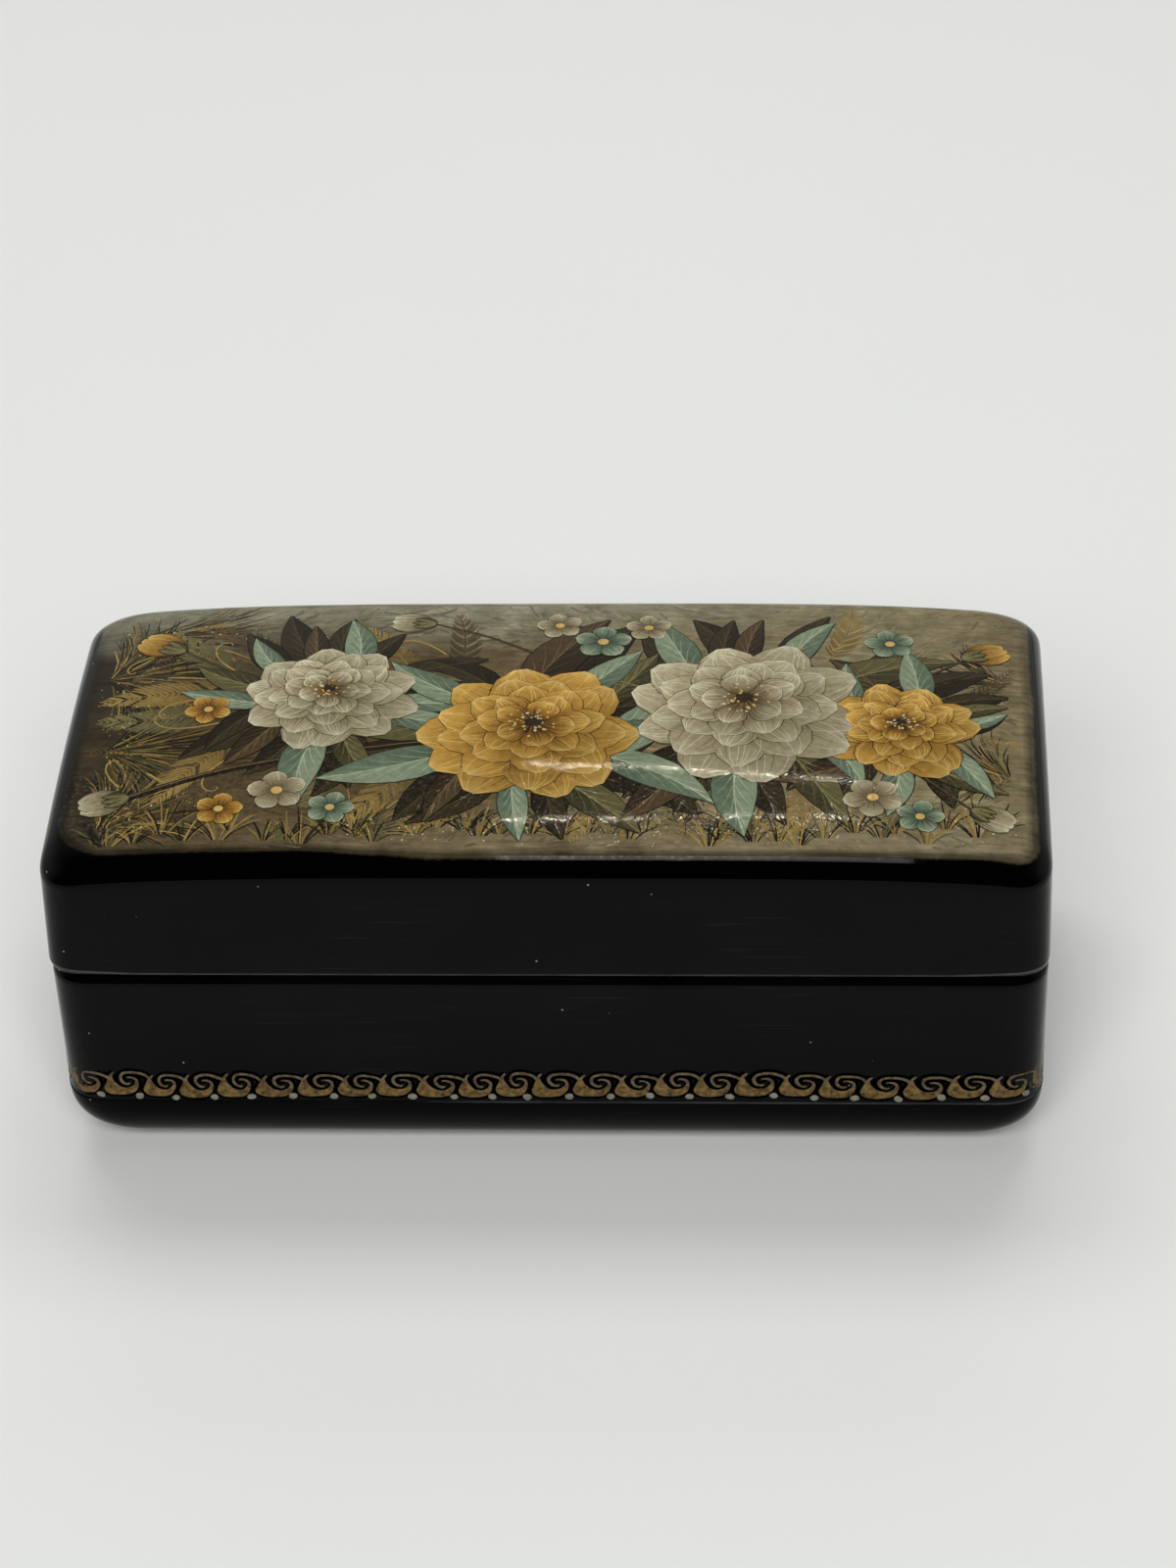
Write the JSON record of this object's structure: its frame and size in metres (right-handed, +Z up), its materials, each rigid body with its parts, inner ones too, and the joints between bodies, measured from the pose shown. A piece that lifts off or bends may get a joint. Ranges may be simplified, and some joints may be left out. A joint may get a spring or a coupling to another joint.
{
  "type": "lacquer trinket box",
  "caption": "Long black lacquered papier-mache keepsake box with a domed painted lid on brass hinges and a gold scroll border round the base.",
  "frame": {"origin": "middle of the flat underside, on the surface that the box stands on", "axes": "+X along the length of the box to the right, +Y from the front to the hinged back, +Z up"},
  "size_m": [0.108, 0.051, 0.042],
  "materials": {
    "black_lacquer": "gloss",
    "red_lacquer": "gloss",
    "gold_paint": "gloss",
    "silver_paint": "gloss",
    "lid_paint": "gloss",
    "hinge_brass": "satin"
  },
  "bodies": {
    "base": {"base_bottom": "black_lacquer", "base_wall": "black_lacquer", "base_lip": "red_lacquer", "left_base_leaf": "hinge_brass", "right_base_leaf": "hinge_brass", "left_hinge_pin": "hinge_brass", "right_hinge_pin": "hinge_brass", "base_rivets": "hinge_brass"},
    "lid": {"lid_wall": "black_lacquer", "lid_top": "black_lacquer", "left_lid_leaf": "hinge_brass", "right_lid_leaf": "hinge_brass", "lid_rivets": "hinge_brass"}
  },
  "joints": [
    {"name": "lid_hinge", "type": "hinge", "parent": "base", "child": "lid", "pos_m": [0, 0.0242, 0.026], "axis": [-1, 0, 0], "range_deg": [0, 98]}
  ]
}
